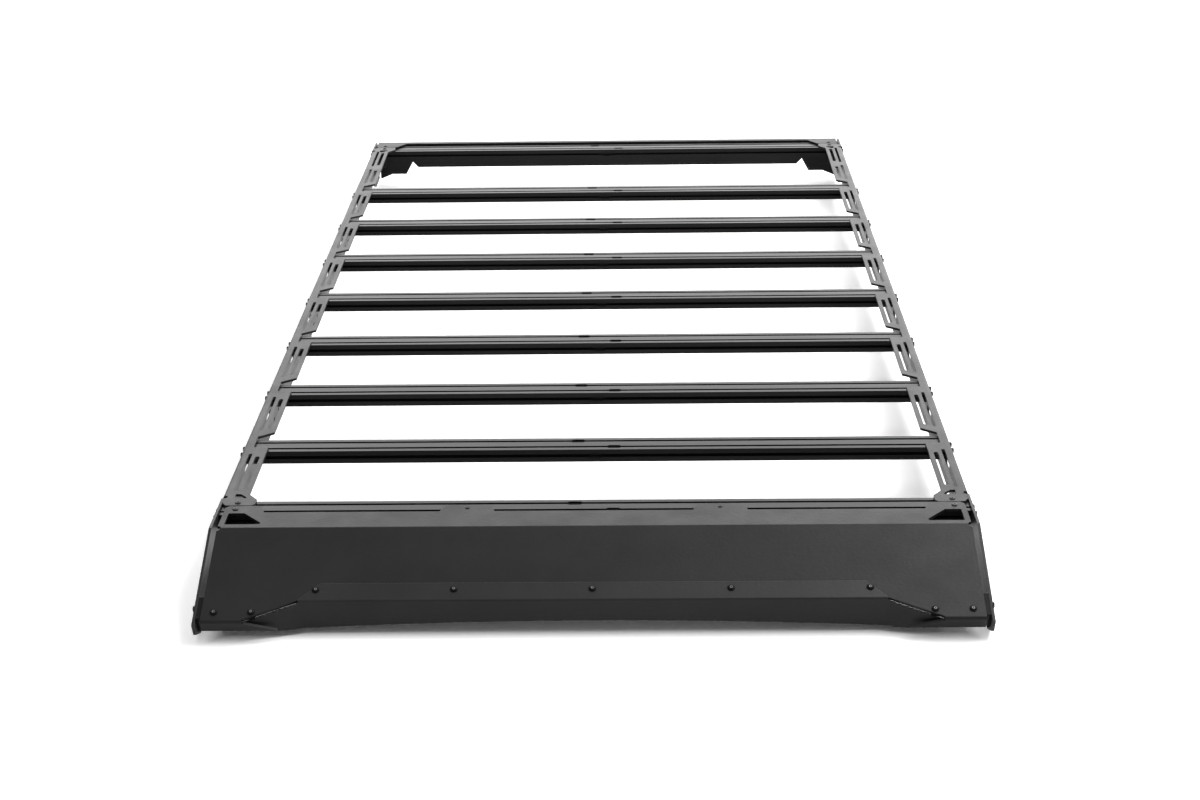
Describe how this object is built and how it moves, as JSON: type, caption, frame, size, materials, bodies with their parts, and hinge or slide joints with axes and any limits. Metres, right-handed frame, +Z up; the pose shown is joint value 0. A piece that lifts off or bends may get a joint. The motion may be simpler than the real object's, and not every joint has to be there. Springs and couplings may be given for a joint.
{
  "type": "vehicle roof rack",
  "caption": "Low platform roof rack: bent side rails, slotted crossbars, a sloping wind fairing with lower panel and a rear panel.",
  "frame": {"origin": "middle of the footprint, on the floor below the fairing's cheeks", "axes": "+Y towards the vehicle's rear, +Z up, +X to the right as seen from the front"},
  "size_m": [1.33, 2.5902, 0.1228],
  "materials": {
    "rail_coat": "satin black powder coat on aluminium sheet",
    "bar_anodised": "black anodised extrusion",
    "fairing_coat": "fine-textured black powder coat"
  },
  "bodies": {
    "root": {"side_rail_left": "rail_coat", "side_rail_right": "rail_coat", "front_crossbar": "bar_anodised", "crossbar_2": "bar_anodised", "crossbar_3": "bar_anodised", "crossbar_4": "bar_anodised", "crossbar_5": "bar_anodised", "crossbar_6": "bar_anodised", "crossbar_7": "bar_anodised", "crossbar_8": "bar_anodised", "rear_crossbar": "bar_anodised", "wind_fairing": "fairing_coat", "fairing_lower_panel": "fairing_coat", "fairing_bracket_left": "rail_coat", "fairing_bracket_right": "rail_coat", "rear_panel": "rail_coat", "rear_bracket_left": "rail_coat", "rear_bracket_right": "rail_coat"}
  },
  "joints": []
}
